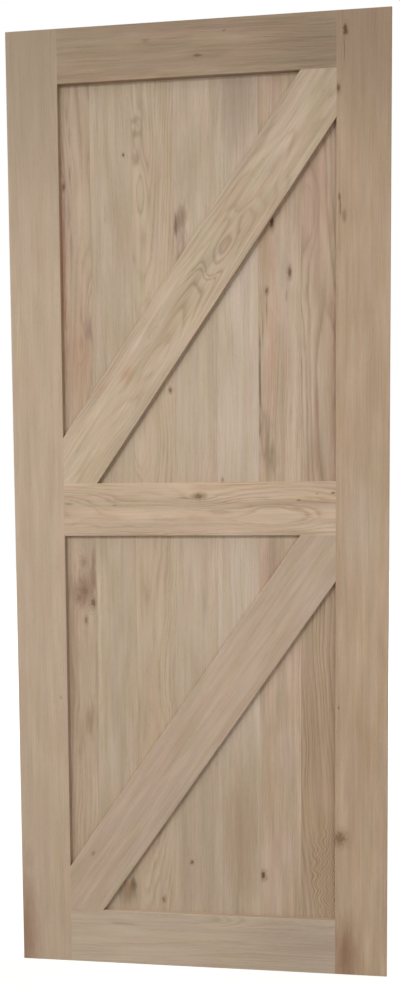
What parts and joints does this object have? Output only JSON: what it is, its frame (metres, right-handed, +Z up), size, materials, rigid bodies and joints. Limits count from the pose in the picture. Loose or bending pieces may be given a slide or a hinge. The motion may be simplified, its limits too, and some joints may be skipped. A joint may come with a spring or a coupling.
{
  "type": "barn door leaf",
  "caption": "Tall boarded oak door leaf with stiles, rails and parallel diagonal braces planted on the front, for hanging from a sliding track.",
  "frame": {"origin": "middle of the bottom of the leaf", "axes": "+Z up the leaf, +X across it to the right seen from the braced front, the front faces -Y"},
  "size_m": [0.813, 0.035, 2.032],
  "materials": {
    "oak_boards": "bare planed oak, matt",
    "oak_stiles_and_rails": "bare planed oak, matt",
    "oak_braces": "bare planed oak, matt",
    "plated_steel_screws": "yellow zinc plated"
  },
  "bodies": {
    "root": {"board_1": "oak_boards", "board_2": "oak_boards", "board_3": "oak_boards", "board_4": "oak_boards", "board_5": "oak_boards", "board_6": "oak_boards", "board_7": "oak_boards", "board_8": "oak_boards", "board_9": "oak_boards", "stile_left": "oak_stiles_and_rails", "stile_right": "oak_stiles_and_rails", "rail_top": "oak_stiles_and_rails", "rail_mid": "oak_stiles_and_rails", "rail_bottom": "oak_stiles_and_rails", "brace_upper": "oak_braces", "brace_lower": "oak_braces", "screws_stile_left": "plated_steel_screws", "screws_stile_right": "plated_steel_screws", "screws_rail_top": "plated_steel_screws", "screws_rail_mid": "plated_steel_screws", "screws_rail_bottom": "plated_steel_screws", "screws_brace_upper": "plated_steel_screws", "screws_brace_lower": "plated_steel_screws"}
  },
  "joints": []
}
